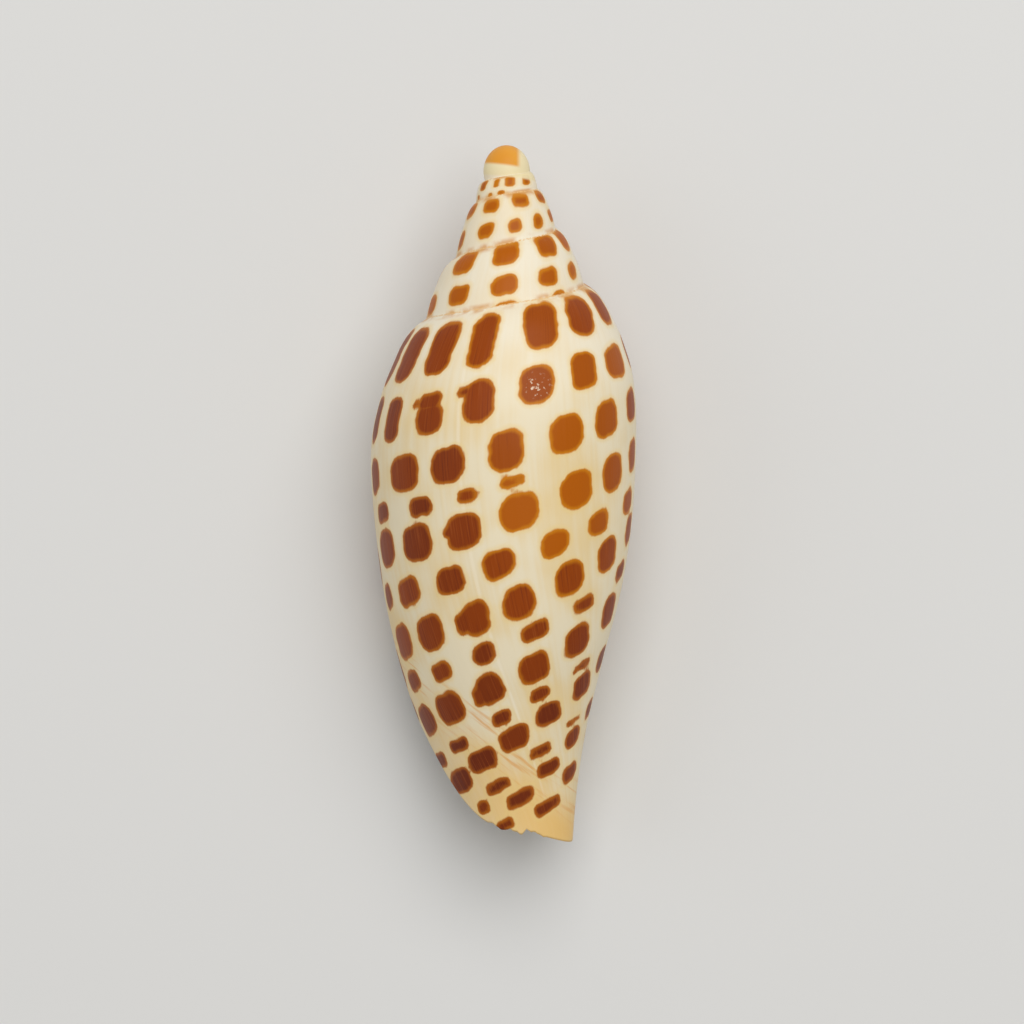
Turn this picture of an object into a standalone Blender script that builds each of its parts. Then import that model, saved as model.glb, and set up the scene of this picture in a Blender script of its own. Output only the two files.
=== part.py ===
"""Junonia shell, lying on its aperture with the spire towards +Y.

The shell is one coiled wall.  A profile of the last whorl is carried round the
axis; each turn multiplies its radius and its depth below the apex by a fixed
factor, so the whorls sit on one another and the spire comes out concave.  The
suture wanders a little from that even growth.  Inside, the wall has its true
thickness and the cavity runs back a turn and a half behind the lip.
"""
import math

import bmesh
import bpy
import numpy as np
from mathutils import Matrix

MM = 0.001

# Growth of the coil, per turn
RADIUS_GROWTH = 1.60
DEPTH_GROWTH = 1.38
TURNS_BUILT = 3.9

# Turn, mm by which the suture lies lower or further out than even growth puts it
SUTURE_DROP = (
    (-3.9, 1.6), (-3.5, 1.6), (-3.25, 1.2), (-3.0, 1.05), (-2.75, 0.7), (-2.5, 0.1),
    (-2.25, -0.6), (-2.0, -0.75), (-1.75, -0.5), (-1.5, 0.05), (-1.25, 0.05), (-1.0, 0.25),
    (-0.75, 0.2), (-0.5, 0.2), (-0.25, 0.0), (-0.1, -0.15), (0.0, -0.45), (0.11, -0.45),
    (0.25, 0.0),
)
SUTURE_SWELL = (
    (-3.9, 0.6), (-3.5, 0.4), (-3.25, 0.6), (-3.0, 0.7), (-2.75, 0.3), (-2.5, 0.0),
    (-2.25, 0.0), (-1.5, 0.0), (-1.25, 0.1), (-1.0, 0.2), (-0.75, 0.1), (-0.5, 0.0),
    (-0.4, 0.0), (0.25, 0.0),
)

# Profile of the last whorl on its left side: depth below the apex, radius
PROFILE = (
    (30.47, 11.43), (31.3, 12.8), (32.4, 13.9), (33.8, 14.85), (35.6, 15.75),
    (38.2, 17.0), (40.8, 17.9), (43.9, 18.75), (48.0, 19.2), (53.0, 19.15),
    (58.0, 18.85), (64.0, 18.3), (69.7, 17.4), (74.9, 16.3), (80.0, 14.85),
    (85.2, 13.05), (90.4, 11.45), (95.5, 9.9), (100.7, 8.65), (108.0, 7.35),
    (114.9, 6.5),
)
SUTURE_DEPTH = 30.47
COVERED_DEPTH = SUTURE_DEPTH * DEPTH_GROWTH
RIDGE_DEPTH = 114.9

# Free edge of the last whorl: angle round the axis in degrees, depth
LIP_ANGLE = 217.4
MARGIN = (
    (0.0, 98.1), (29.0, 98.2), (71.0, 97.1), (92.0, 96.2), (101.0, 96.1), (115.0, 95.8),
    (126.0, 95.2), (136.0, 94.5), (146.0, 93.2), (155.0, 91.4), (163.0, 89.1), (175.0, 85.3),
    (187.0, 81.3), (198.0, 76.9), (206.0, 72.6), (211.5, 68.6), (215.5, 64.0),
    (217.4, 59.0),
)

# Wall
WALL = 1.3
RIDGE_WALL = 2.8
LIP_ROUND = 1.2
CAVITY_TURNS = 1.5
CAVITY_START = 2.4
WEDGE_OPENING = 0.06

# Folds of the columella: depth on the profile, all of one width and height
FOLDS = (79.5, 85.5, 91.5, 97.5)
FOLD_HALF_WIDTH = 1.9
FOLD_HEIGHT = 1.0
FOLD_FADE_TURNS = 0.05

# Columella: x, depth, z of its centre line and its radius
COLUMELLA = (
    (0.0, 44.0, 0.0, 3.0), (0.2, 62.0, 0.0, 3.5), (0.6, 75.0, 0.0, 3.4),
    (1.6, 86.0, -0.2, 3.0), (2.6, 92.0, -0.3, 2.5), (3.3, 96.0, -0.4, 1.8),
    (3.6, 97.5, -0.4, 1.1), (3.65, 97.9, -0.4, 0.5),
)
COLUMELLA_SIDES = 20

# First whorl, a smooth dome: x, depth, z of its centre and its half size along x, y, z
DOME_CENTRE = (-0.35, 11.4, 0.0)
DOME_SIZE = (3.0, 3.4, 3.0)

# Sampling of the surface
STEPS_PER_TURN = 36
LIP_STEPS = (0.12, 0.4)
SPIRE_ROWS = 5
FOLD_ROWS = 14
ROW_ENDS = (0.0, 0.09, 0.18, 0.28, 0.38, 0.48)
FOLD_END = 0.85
EDGE_ROWS = (0.92, 0.97, 0.99, 1.0)

# Rest pose
TILT = 4.0
LEAN = 2.0
FLAT_CUT = 0.2


def clear_objects():
    """Remove every object that the file opens with."""
    for item in list(bpy.data.objects):
        bpy.data.objects.remove(item, do_unlink=True)


def curve(x, knots):
    """Smooth curve through the knots: cubic pieces with averaged slopes."""
    kx, ky = np.array(knots).T
    secant = np.diff(ky) / np.diff(kx)
    width = np.diff(kx)
    middle = (secant[:-1] * width[1:] + secant[1:] * width[:-1]) / (width[1:] + width[:-1])
    slope = np.concatenate(([secant[0]], middle, [secant[-1]]))
    x = np.clip(x, kx[0], kx[-1])
    i = np.clip(np.searchsorted(kx, x, side="right") - 1, 0, len(kx) - 2)
    u = (x - kx[i]) / width[i]
    start = ky[i] * (1 + 2 * u) * (1 - u) ** 2 + slope[i] * width[i] * u * (1 - u) ** 2
    end = ky[i + 1] * u * u * (3 - 2 * u) + slope[i + 1] * width[i] * u * u * (u - 1)
    return start + end


def smooth_step(x):
    """Zero below 0, one above 1, a smooth rise between them."""
    x = np.clip(x, 0.0, 1.0)
    return x * x * (3 - 2 * x)


LIP_TURN = (LIP_ANGLE - 180.0) / 360.0
CAVITY_END = LIP_TURN - CAVITY_TURNS


def angle_of(turn):
    """Angle round the axis: turn 0 is the left side, growth is counter-clockwise."""
    return math.pi + 2 * math.pi * turn


def uneven(turn, row, knots):
    """Departure of a row from even growth, shared between its upper and lower suture."""
    share = np.clip((row - SUTURE_DEPTH) / (COVERED_DEPTH - SUTURE_DEPTH), 0.0, 1.0)
    return (1 - share) * curve(turn, knots) + share * curve(turn + 1, knots)


def depth_of(turn, row):
    """Depth below the apex of a profile depth carried to a turn."""
    return row * DEPTH_GROWTH ** turn + uneven(turn, row, SUTURE_DROP)


def outer_radius(turn, row):
    """Radius of the outside of the wall."""
    return curve(row, PROFILE) * RADIUS_GROWTH ** turn + uneven(turn, row, SUTURE_SWELL)


def last_row(turn):
    """Profile depth at which the wall ends, on the ridge or on the free edge."""
    degrees = 180.0 + 360.0 * turn
    free = curve(np.maximum(degrees, 0.0), MARGIN) / DEPTH_GROWTH ** turn
    return np.where(degrees > 0.0, np.minimum(free, RIDGE_DEPTH), RIDGE_DEPTH)


def place(turn, row, radius):
    """Point in the frame of the coil, whose axis is Y with the apex up."""
    turn, row, radius = np.broadcast_arrays(turn, row, radius)
    angle = angle_of(turn)
    return np.stack((radius * np.cos(angle), -depth_of(turn, row), radius * np.sin(angle)), -1)


def turn_samples():
    """Turns at which the profile is set down, the same angles in every turn."""
    within = np.concatenate(([0.0], LIP_STEPS, np.arange(1, STEPS_PER_TURN))) / STEPS_PER_TURN
    count = math.ceil(TURNS_BUILT)
    back = np.concatenate([within + whole for whole in range(count)])
    back = back[back <= TURNS_BUILT + 1e-9]
    return LIP_TURN - back[::-1], len(within)


def row_fractions():
    """Share of the way from the covered suture to the end of the wall, per row."""
    folds = np.linspace(ROW_ENDS[-1], FOLD_END, FOLD_ROWS + 1)[1:]
    return np.concatenate((ROW_ENDS, folds, EDGE_ROWS))


def body_rows(turn):
    """Profile depths of all rows of the last whorl at each turn."""
    upper = np.linspace(SUTURE_DEPTH, COVERED_DEPTH, SPIRE_ROWS + 1)[:-1]
    end = np.asarray(last_row(turn))[:, None]
    lower = COVERED_DEPTH + (end - COVERED_DEPTH) * row_fractions()[None, :]
    return np.hstack((np.repeat(upper[None, :], len(turn), 0), lower))


def edge_fade(turn, row, end):
    """Zero on the free edge and one a rounding length away from it."""
    back = (LIP_TURN - turn) * 2 * math.pi * outer_radius(turn, row)
    up = (end - row) * DEPTH_GROWTH ** turn
    fade = 1.0
    for distance in (back, up):
        part = 1 - np.clip(distance / LIP_ROUND, 0.0, 1.0)
        fade = fade * np.sqrt(1 - part * part)
    return fade


def wall_thickness(turn, row):
    """Thickness of the wall, heavier where it turns into the columella."""
    to_ridge = smooth_step((row - 88.0) / 20.0)
    near_tip = 1 - smooth_step((turn + 0.5) / 0.25)
    return WALL + (RIDGE_WALL - WALL) * to_ridge * near_tip


def inner_radius(turn, row, end):
    """Radius of the inside of the wall, never below the whorl it lies on."""
    step = 0.05
    outer = outer_radius(turn, row)
    rise = (outer_radius(turn, row + step) - outer_radius(turn, row - step)) / (
        2 * step * DEPTH_GROWTH ** turn)
    thick = wall_thickness(turn, row) * np.sqrt(1 + rise * rise)
    wall = outer - thick * edge_fade(turn, row, end)
    inner_row = row * DEPTH_GROWTH
    previous = outer_radius(turn - 1, inner_row)
    floor = previous + WEDGE_OPENING * (row - SUTURE_DEPTH - CAVITY_START)
    covered = inner_row < RIDGE_DEPTH
    return np.where(covered, np.minimum(np.maximum(wall, floor), outer), wall)


def fold_height(turn, row):
    """Height of the columella folds, dying out at the edge of the aperture."""
    height = 0.0
    for centre in FOLDS:
        height = height + np.clip(1 - ((row - centre) / FOLD_HALF_WIDTH) ** 2, 0.0, 1.0) ** 1.5
    fade = smooth_step((LIP_TURN - 1 - turn) / FOLD_FADE_TURNS)
    return FOLD_HEIGHT * height * fade * RADIUS_GROWTH ** turn


class Skin:
    """Vertices and faces gathered patch by patch."""

    def __init__(self):
        self.points = []
        self.faces = []
        self.count = 0

    def add(self, points):
        """Store an array of points and give back their numbers in its shape."""
        shape = points.shape[:-1]
        flat = points.reshape(-1, 3)
        self.points.append(flat)
        numbers = np.arange(self.count, self.count + len(flat)).reshape(shape)
        self.count += len(flat)
        return numbers

    def patch(self, grid):
        """Four-sided faces between neighbouring numbers of a grid."""
        corners = np.stack((grid[:-1, :-1], grid[1:, :-1], grid[1:, 1:], grid[:-1, 1:]), -1)
        self.faces.extend(corners.reshape(-1, 4).tolist())

    def polygon(self, numbers):
        """One flat face."""
        self.faces.append([int(n) for n in numbers])


def build_coil():
    """Vertices and faces of the coiled wall, all patches sharing their edges."""
    skin = Skin()
    turns, per_turn = turn_samples()
    last = len(turns) - 1
    mouth = last - per_turn
    back = int(np.argmin(np.abs(turns - CAVITY_END)))
    rows = body_rows(turns[back:])
    body_turns = turns[mouth:, None]
    body_part = rows[mouth - back:]
    body = skin.add(place(body_turns, body_part, outer_radius(body_turns, body_part)))
    spire_rows = rows[0, :SPIRE_ROWS]
    early = turns[:mouth, None]
    spire = skin.add(place(early, spire_rows, outer_radius(early, spire_rows)))
    outside = np.vstack((spire, body[:, :SPIRE_ROWS]))
    under = outside[per_turn:, 0]
    strip = np.hstack((outside[:mouth + 1], under[:, None]))
    body[0, SPIRE_ROWS] = body[-1, 0]
    skin.patch(strip)
    skin.patch(body)

    cavity = turns[back:last]
    cavity_rows = rows[:-1]
    ends = cavity_rows[:, -1:]
    fade = edge_fade(cavity, SUTURE_DEPTH, ends[:, 0])[:, None]
    start = SUTURE_DEPTH + CAVITY_START * fade
    inside_rows = start + (cavity_rows - SUTURE_DEPTH) * (ends - start) / (ends - SUTURE_DEPTH)
    inside_rows = inside_rows[:, 1:-1]
    inner = inner_radius(cavity[:, None], inside_rows, ends)
    inside = skin.add(place(cavity[:, None], inside_rows, inner))

    seam = start * DEPTH_GROWTH
    fractions = row_fractions()
    wall_turns = cavity - 1
    wall_rows = seam + (RIDGE_DEPTH - seam) * fractions[None, :]
    wall_radius = outer_radius(wall_turns[:, None], wall_rows)
    wall_radius = wall_radius + fold_height(wall_turns[:, None], wall_rows)
    parietal = skin.add(place(wall_turns[:, None], wall_rows, wall_radius))
    parietal = np.vstack((parietal, body[:1, SPIRE_ROWS:]))
    skin.patch(parietal)

    rim = np.concatenate((parietal[per_turn:-1, -1:], body[:-1, -1:]))
    inside = np.hstack((parietal[:-1, :1], inside, rim))
    inside = np.vstack((inside, body[-1:]))
    skin.patch(inside)

    base_turns = turns[back - per_turn:back + 1]
    axis = skin.add(place(base_turns, RIDGE_DEPTH, 0.0))
    ridge = parietal[:per_turn + 1, -1]
    skin.patch(np.stack((ridge, axis), -1))
    skin.polygon(np.concatenate((inside[0], axis[::-1], parietal[0, ::-1][:-1])))

    top = skin.add(place(turns[:1], SUTURE_DEPTH, 0.0))[0]
    first = strip[:per_turn + 1, 0]
    for one, two in zip(first[:-1], first[1:]):
        skin.polygon((top, one, two))
    skin.polygon(np.concatenate(([top], strip[0])))
    return np.concatenate(skin.points), skin.faces


def make_object(name, points, faces, material):
    """Mesh object with merged corners and outward faces."""
    mesh = bpy.data.meshes.new(name)
    mesh.from_pydata((points * MM).tolist(), [], faces)
    item = bpy.data.objects.new(name, mesh)
    bpy.context.collection.objects.link(item)
    work = bmesh.new()
    work.from_mesh(mesh)
    bmesh.ops.remove_doubles(work, verts=work.verts, dist=1e-7)
    bmesh.ops.delete(work, geom=[v for v in work.verts if not v.link_faces], context="VERTS")
    bmesh.ops.recalc_face_normals(work, faces=work.faces)
    work.to_mesh(mesh)
    work.free()
    mesh.materials.append(material)
    return item


def make_columella(material):
    """Tapered pillar that ends in the tip beside the siphonal notch."""
    path = np.array(COLUMELLA)
    angle = np.linspace(0, 2 * math.pi, COLUMELLA_SIDES, endpoint=False)
    x = path[:, :1] + path[:, 3:] * np.cos(angle)
    z = path[:, 2:3] + path[:, 3:] * np.sin(angle)
    y = -path[:, 1:2] + 0 * x
    skin = Skin()
    rings = skin.add(np.stack((x, y, z), -1))
    skin.patch(np.hstack((rings, rings[:, :1])))
    skin.polygon(rings[0])
    skin.polygon(rings[-1])
    return make_object("columella", np.concatenate(skin.points), skin.faces, material)


def make_dome(material):
    """First whorl of the spire."""
    x, depth, z = DOME_CENTRE
    size = [half * MM for half in DOME_SIZE]
    bpy.ops.mesh.primitive_uv_sphere_add(
        segments=20, ring_count=12, radius=1.0, location=(x * MM, -depth * MM, z * MM), scale=size)
    dome = bpy.context.active_object
    dome.data.transform(dome.matrix_world)
    dome.matrix_world = Matrix.Identity(4)
    dome.data.materials.append(material)
    return dome


def join(base, tool):
    """Union of two solids, kept in the first."""
    modifier = base.modifiers.new("union", "BOOLEAN")
    modifier.operation = "UNION"
    modifier.solver = "EXACT"
    modifier.object = tool
    bpy.context.view_layer.objects.active = base
    bpy.ops.object.modifier_apply(modifier=modifier.name)
    bpy.data.objects.remove(tool, do_unlink=True)


def lay_down(shell):
    """Turn the shell to its rest pose and cut the small flat it stands on."""
    mesh = shell.data
    mesh.transform(Matrix.Rotation(math.radians(LEAN), 4, "Z"))
    mesh.transform(Matrix.Rotation(math.radians(TILT), 4, "X"))
    points = np.array([v.co for v in mesh.vertices])
    low, high = points.min(0), points.max(0)
    middle = (low + high) / 2
    mesh.transform(Matrix.Translation((-middle[0], -middle[1], -low[2] - FLAT_CUT * MM)))
    work = bmesh.new()
    work.from_mesh(mesh)
    everything = work.verts[:] + work.edges[:] + work.faces[:]
    cut = bmesh.ops.bisect_plane(
        work, geom=everything, plane_co=(0, 0, 0), plane_no=(0, 0, -1), clear_outer=True)
    edges = [e for e in cut["geom_cut"] if isinstance(e, bmesh.types.BMEdge)]
    bmesh.ops.contextual_create(work, geom=edges)
    bmesh.ops.recalc_face_normals(work, faces=work.faces)
    work.to_mesh(mesh)
    work.free()


def shell_material():
    """Glazed cream of the shell."""
    material = bpy.data.materials.new("shell")
    material.use_nodes = True
    shader = material.node_tree.nodes["Principled BSDF"]
    shader.inputs["Base Color"].default_value = (0.80, 0.68, 0.45, 1.0)
    shader.inputs["Roughness"].default_value = 0.25
    return material


def main():
    clear_objects()
    material = shell_material()
    points, faces = build_coil()
    shell = make_object("shell", points, faces, material)
    join(shell, make_columella(material))
    join(shell, make_dome(material))
    lay_down(shell)
    for face in shell.data.polygons:
        face.use_smooth = True


main()
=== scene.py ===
import math

import bmesh
import bpy
import numpy as np
from mathutils import Matrix, Vector


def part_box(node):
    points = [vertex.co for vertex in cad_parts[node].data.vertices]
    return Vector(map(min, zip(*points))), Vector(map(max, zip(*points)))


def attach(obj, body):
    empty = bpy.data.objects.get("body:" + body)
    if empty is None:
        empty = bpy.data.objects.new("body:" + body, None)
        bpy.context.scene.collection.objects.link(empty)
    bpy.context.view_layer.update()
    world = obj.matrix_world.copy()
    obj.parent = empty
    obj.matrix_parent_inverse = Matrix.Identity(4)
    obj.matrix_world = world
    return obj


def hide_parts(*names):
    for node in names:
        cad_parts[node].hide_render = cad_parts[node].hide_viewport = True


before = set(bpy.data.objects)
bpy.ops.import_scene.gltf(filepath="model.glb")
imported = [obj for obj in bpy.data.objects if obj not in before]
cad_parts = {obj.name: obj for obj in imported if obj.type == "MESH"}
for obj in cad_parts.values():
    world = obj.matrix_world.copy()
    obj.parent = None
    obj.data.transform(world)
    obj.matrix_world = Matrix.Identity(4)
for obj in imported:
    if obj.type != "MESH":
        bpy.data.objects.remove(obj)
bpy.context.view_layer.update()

# Shell
# A junonia, a sea snail's coiled shell of glazed lime: cream, with rows of brown
# spots that the animal laid down as it added to the lip, turn after turn.  The
# wall is one sheet wound round an axis, with a pillar inside and a smooth first
# whorl on top.

MM = 0.001
RADIUS_GROWTH = 1.60
DEPTH_GROWTH = 1.38
TURNS_BUILT = 3.9

# Turn, mm by which the suture lies lower or further out than even growth puts it
SUTURE_DROP = (
    (-3.9, 1.6), (-3.5, 1.6), (-3.25, 1.2), (-3.0, 1.05), (-2.75, 0.7), (-2.5, 0.1),
    (-2.25, -0.6), (-2.0, -0.75), (-1.75, -0.5), (-1.5, 0.05), (-1.25, 0.05), (-1.0, 0.25),
    (-0.75, 0.2), (-0.5, 0.2), (-0.25, 0.0), (-0.1, -0.15), (0.0, -0.45), (0.11, -0.45),
    (0.25, 0.0),
)
SUTURE_SWELL = (
    (-3.9, 0.6), (-3.5, 0.4), (-3.25, 0.6), (-3.0, 0.7), (-2.75, 0.3), (-2.5, 0.0),
    (-2.25, 0.0), (-1.5, 0.0), (-1.25, 0.1), (-1.0, 0.2), (-0.75, 0.1), (-0.5, 0.0),
    (-0.4, 0.0), (0.25, 0.0),
)

# Profile of the last whorl on its left side: depth below the apex, radius, in mm
PROFILE = (
    (30.47, 11.43), (31.3, 12.8), (32.4, 13.9), (33.8, 14.85), (35.6, 15.75),
    (38.2, 17.0), (40.8, 17.9), (43.9, 18.75), (48.0, 19.2), (53.0, 19.15),
    (58.0, 18.85), (64.0, 18.3), (69.7, 17.4), (74.9, 16.3), (80.0, 14.85),
    (85.2, 13.05), (90.4, 11.45), (95.5, 9.9), (100.7, 8.65), (108.0, 7.35),
    (114.9, 6.5),
)
SUTURE_DEPTH = 30.47
COVERED_DEPTH = SUTURE_DEPTH * DEPTH_GROWTH
RIDGE_DEPTH = 114.9

# Free edge of the last whorl: angle round the axis in degrees, depth in mm
LIP_ANGLE = 217.4
MARGIN = (
    (0.0, 98.1), (29.0, 98.2), (71.0, 97.1), (92.0, 96.2), (101.0, 96.1), (115.0, 95.8),
    (126.0, 95.2), (136.0, 94.5), (146.0, 93.2), (155.0, 91.4), (163.0, 89.1), (175.0, 85.3),
    (187.0, 81.3), (198.0, 76.9), (206.0, 72.6), (211.5, 68.6), (215.5, 64.0),
    (217.4, 59.0),
)
LIP_TURN = (LIP_ANGLE - 180.0) / 360.0
# Small chips along the front edge: angle, how far the edge stands out in mm
CHIPS = (
    (95.5, -0.45), (101.5, 0.4), (112.0, -0.3), (120.0, 0.2), (128.0, -0.25), (88.0, -0.2),
    (78.0, 0.15),
)
CHIP_WIDTH = 2.2

# Wall, its rounded lip and the cavity behind it, in mm and turns
WALL = 1.3
RIDGE_WALL = 2.8
LIP_ROUND = 1.2
CAVITY_TURNS = 1.5
CAVITY_START = 2.4
WEDGE_OPENING = 0.06
# Depths in mm over which the wall thickens, and turns over which it thins again
HEAVY_DEPTHS = (88.0, 108.0)
HEAVY_TURNS = (-0.5, -0.25)
# Length in mm over which the slope of the profile and the swing of the lines are read
PROFILE_STEP = 0.05
SWING_STEP = 0.5
# How strongly the glaze covers the spots in the aperture, and turns over which it starts
GLAZE = 0.5
GLAZE_TURNS = 0.02

# Folds of the pillar: depth on the profile, half width, height
FOLDS = (79.5, 85.5, 91.5, 97.5)
FOLD_HALF_WIDTH = 1.9
FOLD_HEIGHT = 1.0
FOLD_FADE_TURNS = 0.05

# Pillar: x, depth, z of its centre line and its radius, in mm
PILLAR = (
    (0.0, 44.0, 0.0, 3.0), (0.2, 62.0, 0.0, 3.5), (0.6, 75.0, 0.0, 3.4),
    (1.6, 86.0, -0.2, 3.0), (2.6, 92.0, -0.3, 2.5), (3.3, 96.0, -0.4, 1.8),
    (3.6, 97.5, -0.4, 1.1), (3.65, 97.9, -0.4, 0.5),
)
PILLAR_SIDES = 48
PILLAR_RINGS = 60

# First whorl: x, depth, z of its centre and its half size along x, y, z, in mm
DOME_CENTRE = (-0.35, 11.4, 0.0)
DOME_SIZE = (3.0, 3.4, 3.0)
DOME_SEGMENTS = 96
DOME_RINGS = 48

STEPS_PER_TURN = 160
SPIRE_ROWS = 16
WALL_ROWS = 88
EDGE_ROWS = (0.985, 0.99, 0.995, 1.0)
# Share of the depth that the even rows take, extra steps behind the lip, welding distance
EVEN_SHARE = 0.98
LIP_STEPS = (0.2, 0.5)
WELD = 1e-7

# How the shell lies: tilt and lean in degrees, and the depth of its small flat
TILT = 4.0
LEAN = 2.0
FLAT_CUT = 0.2

# Growth lines: depth on the profile, degrees by which the line has swung back
GROWTH_LEAN = (
    (30.47, 0.0), (38.0, -4.5), (45.0, -5.5), (52.0, -5.5), (60.0, -4.0), (70.0, 0.0),
    (80.0, 6.5), (90.0, 17.0), (100.0, 32.0), (114.9, 60.0),
)

# Rows of spots.  A row drifts away from the suture by this factor in a turn.
ROW_DRIFT = 2.0
# Spacing in degrees on the last whorl and on the spire, and the whorl angle between
SPACING = (25.0, 36.0, -170.0)
# Each row: share of the spacing that a spot fills, height in mm, spots that are
# seen from above: angle in degrees, mm below the suture at the left side, width
# and height in mm
SPOT_ROWS = (
    (0.60, 6.4, (
        (19, 3.6, 4.4, 4.8), (47, 3.7, 4.7, 5.2), (75, 3.9, 4.7, 5.9), (107, 4.7, 3.6, 6.8),
        (130, 4.8, 4.2, 6.8), (153, 5.0, 4.3, 7.0), (172, 4.8, 3.4, 7.0), (-223, 3.4, 3.6, 2.9),
        (-264, 3.1, 3.5, 3.0), (-307, 3.1, 3.3, 2.9), (-341, 3.5, 3.0, 2.7), (-559, 4.9, 2.4, 1.8),
        (-600, 5.1, 2.3, 1.7), (-646, 5.0, 2.5, 1.5), (-691, 4.9, 2.1, 1.6), (-932, 11.5, 1.3, 2.2),
        (-962, 12.4, 0.8, 2.0), (-991, 13.5, 1.4, 2.3), (-1028, 15.0, 1.3, 2.3))),
    (0.58, 5.8, (
        (31, 12.4, 5.2, 4.3), (56, 12.2, 4.4, 4.8), (81, 12.6, 4.8, 4.9), (107, 13.3, 4.3, 5.6),
        (130, 14.5, 4.4, 4.0), (130.5, 12.0, 3.8, 2.3), (138, 12.0, 1.6, 1.6), (153, 13.5, 3.7, 6.0),
        (172, 12.7, 3.9, 5.9), (114.5, 11.7, 1.7, 1.6), (-192, 13.6, 3.4, 3.1),
        (-226, 12.6, 3.5, 2.7), (-263, 12.3, 3.5, 2.7), (-299, 12.6, 3.2, 2.5), (-331, 13.1, 2.3, 2.3),
        (-554, 18.0, 2.0, 2.2), (-598, 17.0, 2.2, 1.8), (-634, 18.0, 1.9, 1.8), (-668, 18.4, 1.8, 1.7),
        (-704, 18.5, 2.0, 1.8), (-919, 31.0, 0.8, 1.1), (-952, 33.0, 0.8, 1.0), (-973, 34.0, 1.0, 1.0))),
    (0.60, 4.9, (
        (21, 20.8, 4.2, 4.3), (45.5, 20.9, 4.5, 5.0), (68.5, 21.1, 5.0, 5.1), (95.5, 21.3, 4.6, 5.4),
        (100, 21.3, 0.4, 1.6), (121, 21.5, 5.1, 4.8), (144, 21.1, 5.9, 4.8), (170, 20.1, 4.3, 4.8),
        (-224, 21.4, 3.0, 3.4), (-264, 20.9, 3.6, 3.4), (-306, 21.2, 2.4, 3.0))),
    (0.40, 2.4, (
        (93.5, 26.1, 3.3, 1.5), (113, 26.4, 2.9, 1.8), (110, 26.4, 1.9, 0.9), (135.5, 26.3, 4.1, 2.6),
        (163, 25.3, 4.0, 2.7))),
    (0.60, 5.0, (
        (20, 29.6, 3.4, 4.4), (41.5, 30.2, 4.3, 5.0), (64, 30.4, 5.1, 5.0), (91, 30.9, 5.3, 4.9),
        (115.5, 31.4, 5.2, 4.6), (122.5, 31.0, 1.8, 1.8), (139.5, 31.0, 5.5, 4.9), (163, 30.1, 5.4, 5.0))),
    (0.48, 3.7, (
        (25, 37.0, 3.6, 3.4), (51, 37.2, 3.8, 3.3), (75, 37.5, 4.1, 3.5), (101, 37.7, 4.5, 3.9),
        (124, 37.7, 4.5, 3.6), (149, 37.0, 5.0, 3.8), (170, 36.0, 3.6, 3.5))),
    (0.58, 4.8, (
        (19, 42.8, 3.4, 4.2), (43, 43.7, 4.1, 4.8), (67, 44.2, 4.5, 4.6), (92.5, 44.5, 4.5, 4.6),
        (113.5, 44.3, 4.1, 4.7), (119.5, 44.3, 2.6, 3.1), (139.5, 43.6, 5.1, 4.8), (163, 42.6, 5.4, 4.7))),
    (0.42, 2.8, (
        (26, 49.0, 3.2, 2.4), (57, 49.7, 3.7, 2.1), (85, 49.9, 4.1, 2.4), (112, 49.7, 3.3, 2.9),
        (138, 49.2, 3.7, 2.7), (163.5, 47.9, 4.1, 2.9))),
    (0.58, 4.4, (
        (33, 54.6, 3.8, 4.4), (59, 55.4, 4.4, 4.4), (85.5, 55.6, 4.4, 4.0), (112, 55.0, 4.1, 4.4),
        (118, 55.3, 2.2, 2.8), (139.5, 54.3, 5.2, 4.2), (165, 53.1, 5.1, 4.1))),
    (0.36, 2.1, (
        (52, 60.9, 3.4, 1.3), (82, 60.4, 2.8, 1.9), (107.5, 60.1, 2.8, 2.1), (141, 59.5, 3.6, 1.9),
        (165, 58.6, 3.5, 2.1))),
    (0.56, 3.5, (
        (25, 64.4, 3.1, 3.4), (48, 64.8, 3.6, 3.6), (76, 64.5, 3.9, 3.3), (100.5, 64.3, 4.3, 3.3),
        (125.5, 63.8, 4.6, 3.2), (149, 63.5, 4.5, 3.2))),
    (0.34, 2.0, (
        (51, 70.2, 3.0, 0.9), (81.5, 69.6, 3.3, 1.8), (117, 69.0, 3.7, 1.7), (133, 69.6, 2.1, 1.8))),
    (0.50, 2.7, (
        (27, 72.8, 2.6, 2.6), (49, 73.4, 3.2, 2.7), (73.5, 73.7, 3.7, 2.1), (100, 73.7, 4.1, 2.1),
        (115.5, 75.1, 2.7, 1.8))),
    (0.50, 2.7, (
        (46, 79.9, 3.3, 2.5), (73, 80.1, 4.1, 2.0))),
)
# Angles between which only the listed spots stand, in every turn
SEEN_SIDE = (12.0, 178.0)
# The palest spots: angle, profile depth, and how far round and down they reach
AMBER_SPOTS = (66.0, 60.0, 28.0, 12.0)
# The sides of a spot stand at most this far from square to its top, in degrees
MOST_SKEW = 12.0
# Share by which the spots near the front end lie more level than their rows
FRONT_LEVELLING = 0.4
# Where the spot with the painted glints of light lies, in mm
GLINT_PLACE = (4.4, 13.6, 29.5)
# Rounding of a spot's corners as a share of its size, and how near two corners are cut
CORNER_SHARE = 0.40
CORNER_CUT = 0.80
# Depths in mm over which the corners become whole again, and over which spots level out
WHOLE_DEPTHS = (62.0, 80.0)
LEVEL_DEPTHS = (75.0, 90.0)
# Farthest that a spot reaches, in degrees, and the distances that mean no spot or suture
SPOT_REACH = 45.0
FAR_FROM_SPOT = 3.0
FAR_FROM_SUTURE = 9.0
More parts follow.
